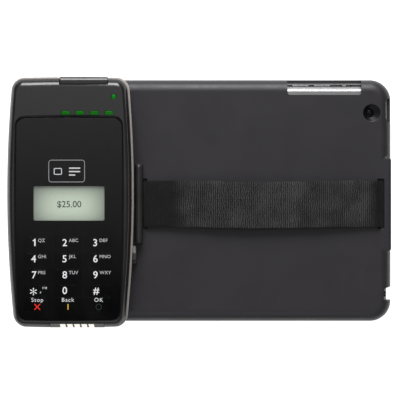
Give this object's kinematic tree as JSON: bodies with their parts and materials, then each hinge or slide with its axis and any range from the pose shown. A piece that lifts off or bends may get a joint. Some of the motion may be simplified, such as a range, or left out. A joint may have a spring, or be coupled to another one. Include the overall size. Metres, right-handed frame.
{
  "type": "card payment terminal",
  "caption": "Handheld card payment terminal with a display, flush keypad and contact pads, docked on the back of a tablet sleeve with a woven hand strap.",
  "frame": {"origin": "centre of the bounding box's bottom, level with the sleeve's open rim", "axes": "+Z out of the terminal's face, +Y towards the terminal's top end with the scanner window, +X from the terminal to the sleeve's far end"},
  "size_m": [0.219, 0.1415, 0.0371],
  "materials": {
    "front_housing": "satin black",
    "trim_band": "satin grey",
    "rear_housing": "satin black",
    "housing_screw": "plain",
    "lens_panel": "gloss black",
    "display_window": "clear",
    "lcd_module": "grey green",
    "key_cap": "gloss black",
    "key_cancel": "gloss black with a red mark",
    "key_clear": "gloss black with a yellow mark",
    "key_enter": "gloss black with a green mark",
    "keypad_membrane": "matte",
    "contactless_light_pipe": "green",
    "power_led": "green",
    "scanner_window": "dark gloss",
    "scanner_engine": "matte",
    "charging_block": "matte black",
    "charging_contact": "bright plated",
    "main_board": "green",
    "battery": "grey sleeve",
    "card_reader": "matte",
    "magstripe_head": "bright",
    "contactless_antenna": "copper",
    "sleeve_shell": "matte soft black",
    "strap_anchor": "plain",
    "hand_strap": "woven elastic webbing",
    "dock_cradle": "satin black",
    "dock_connector": "matte",
    "release_latch": "grey",
    "tablet_housing": "bead blasted silver",
    "tablet_glass": "black glass",
    "tablet_cell": "grey",
    "camera_lens": "dark glass",
    "edge_button": "silver",
    "home_button": "black"
  },
  "bodies": {
    "sleeve": {"sleeve_shell": "sleeve_shell", "dock_cradle": "dock_cradle", "dock_connector": "dock_connector", "hand_strap": "hand_strap", "strap_anchor_left": "strap_anchor", "strap_anchor_right": "strap_anchor"},
    "terminal": {"front_housing": "front_housing", "trim_band": "trim_band", "rear_housing": "rear_housing", "housing_screw_1": "housing_screw", "housing_screw_2": "housing_screw", "housing_screw_3": "housing_screw", "housing_screw_4": "housing_screw", "lens_panel": "lens_panel", "display_window": "display_window", "lcd_module": "lcd_module", "keypad_membrane": "keypad_membrane", "contactless_light_pipe": "contactless_light_pipe", "power_led": "power_led", "scanner_window": "scanner_window", "scanner_engine": "scanner_engine", "charging_block": "charging_block", "charging_contact_1": "charging_contact", "charging_contact_2": "charging_contact", "charging_contact_3": "charging_contact", "charging_contact_4": "charging_contact", "charging_contact_5": "charging_contact", "main_board": "main_board", "battery": "battery", "card_reader": "card_reader", "magstripe_head": "magstripe_head", "contactless_antenna": "contactless_antenna"},
    "tablet": {"tablet_housing": "tablet_housing", "tablet_glass": "tablet_glass", "tablet_cell": "tablet_cell", "camera_lens": "camera_lens"},
    "latch": {"release_latch": "release_latch"},
    "key_1_cap": {"key_1": "key_cap"},
    "key_2_cap": {"key_2": "key_cap"},
    "key_3_cap": {"key_3": "key_cap"},
    "key_4_cap": {"key_4": "key_cap"},
    "key_5_cap": {"key_5": "key_cap"},
    "key_6_cap": {"key_6": "key_cap"},
    "key_7_cap": {"key_7": "key_cap"},
    "key_8_cap": {"key_8": "key_cap"},
    "key_9_cap": {"key_9": "key_cap"},
    "key_star_cap": {"key_star": "key_cap"},
    "key_0_cap": {"key_0": "key_cap"},
    "key_hash_cap": {"key_hash": "key_cap"},
    "key_cancel_cap": {"key_cancel": "key_cancel"},
    "key_clear_cap": {"key_clear": "key_clear"},
    "key_enter_cap": {"key_enter": "key_enter"},
    "volume_up_piece": {"volume_up": "edge_button"},
    "volume_down_piece": {"volume_down": "edge_button"},
    "mute_switch_piece": {"mute_switch": "edge_button"},
    "power_button_piece": {"power_button": "edge_button"},
    "home_button_piece": {"home_button": "home_button"}
  },
  "joints": [
    {"name": "terminal_slide", "type": "slide", "parent": "sleeve", "child": "terminal", "axis": [0, 1, 0], "range_m": [0, 0.15]},
    {"name": "tablet_lift_out", "type": "slide", "parent": "sleeve", "child": "tablet", "axis": [0, 0, -1], "range_m": [0, 0.05]},
    {"name": "release_latch_slide", "type": "slide", "parent": "sleeve", "child": "latch", "axis": [-1, 0, 0], "range_m": [0, 0.0025]},
    {"name": "key_1_press", "type": "slide", "parent": "terminal", "child": "key_1_cap", "axis": [0, 0, -1], "range_m": [0, 0.0006], "stiffness_N_per_m": 1500},
    {"name": "key_2_press", "type": "slide", "parent": "terminal", "child": "key_2_cap", "axis": [0, 0, -1], "range_m": [0, 0.0006], "stiffness_N_per_m": 1500},
    {"name": "key_3_press", "type": "slide", "parent": "terminal", "child": "key_3_cap", "axis": [0, 0, -1], "range_m": [0, 0.0006], "stiffness_N_per_m": 1500},
    {"name": "key_4_press", "type": "slide", "parent": "terminal", "child": "key_4_cap", "axis": [0, 0, -1], "range_m": [0, 0.0006], "stiffness_N_per_m": 1500},
    {"name": "key_5_press", "type": "slide", "parent": "terminal", "child": "key_5_cap", "axis": [0, 0, -1], "range_m": [0, 0.0006], "stiffness_N_per_m": 1500},
    {"name": "key_6_press", "type": "slide", "parent": "terminal", "child": "key_6_cap", "axis": [0, 0, -1], "range_m": [0, 0.0006], "stiffness_N_per_m": 1500},
    {"name": "key_7_press", "type": "slide", "parent": "terminal", "child": "key_7_cap", "axis": [0, 0, -1], "range_m": [0, 0.0006], "stiffness_N_per_m": 1500},
    {"name": "key_8_press", "type": "slide", "parent": "terminal", "child": "key_8_cap", "axis": [0, 0, -1], "range_m": [0, 0.0006], "stiffness_N_per_m": 1500},
    {"name": "key_9_press", "type": "slide", "parent": "terminal", "child": "key_9_cap", "axis": [0, 0, -1], "range_m": [0, 0.0006], "stiffness_N_per_m": 1500},
    {"name": "key_star_press", "type": "slide", "parent": "terminal", "child": "key_star_cap", "axis": [0, 0, -1], "range_m": [0, 0.0006], "stiffness_N_per_m": 1500},
    {"name": "key_0_press", "type": "slide", "parent": "terminal", "child": "key_0_cap", "axis": [0, 0, -1], "range_m": [0, 0.0006], "stiffness_N_per_m": 1500},
    {"name": "key_hash_press", "type": "slide", "parent": "terminal", "child": "key_hash_cap", "axis": [0, 0, -1], "range_m": [0, 0.0006], "stiffness_N_per_m": 1500},
    {"name": "key_cancel_press", "type": "slide", "parent": "terminal", "child": "key_cancel_cap", "axis": [0, 0, -1], "range_m": [0, 0.0006], "stiffness_N_per_m": 1500},
    {"name": "key_clear_press", "type": "slide", "parent": "terminal", "child": "key_clear_cap", "axis": [0, 0, -1], "range_m": [0, 0.0006], "stiffness_N_per_m": 1500},
    {"name": "key_enter_press", "type": "slide", "parent": "terminal", "child": "key_enter_cap", "axis": [0, 0, -1], "range_m": [0, 0.0006], "stiffness_N_per_m": 1500},
    {"name": "volume_up_press", "type": "slide", "parent": "tablet", "child": "volume_up_piece", "axis": [0, -1, 0], "range_m": [0, 0.0003], "stiffness_N_per_m": 3000},
    {"name": "volume_down_press", "type": "slide", "parent": "tablet", "child": "volume_down_piece", "axis": [0, -1, 0], "range_m": [0, 0.0003], "stiffness_N_per_m": 3000},
    {"name": "power_button_press", "type": "slide", "parent": "tablet", "child": "power_button_piece", "axis": [-1, 0, 0], "range_m": [0, 0.0003], "stiffness_N_per_m": 3000},
    {"name": "home_button_press", "type": "slide", "parent": "tablet", "child": "home_button_piece", "axis": [0, 0, 1], "range_m": [0, 0.0003], "stiffness_N_per_m": 3000},
    {"name": "mute_switch_slide", "type": "slide", "parent": "tablet", "child": "mute_switch_piece", "axis": [1, 0, 0], "range_m": [0, 0.002]}
  ]
}
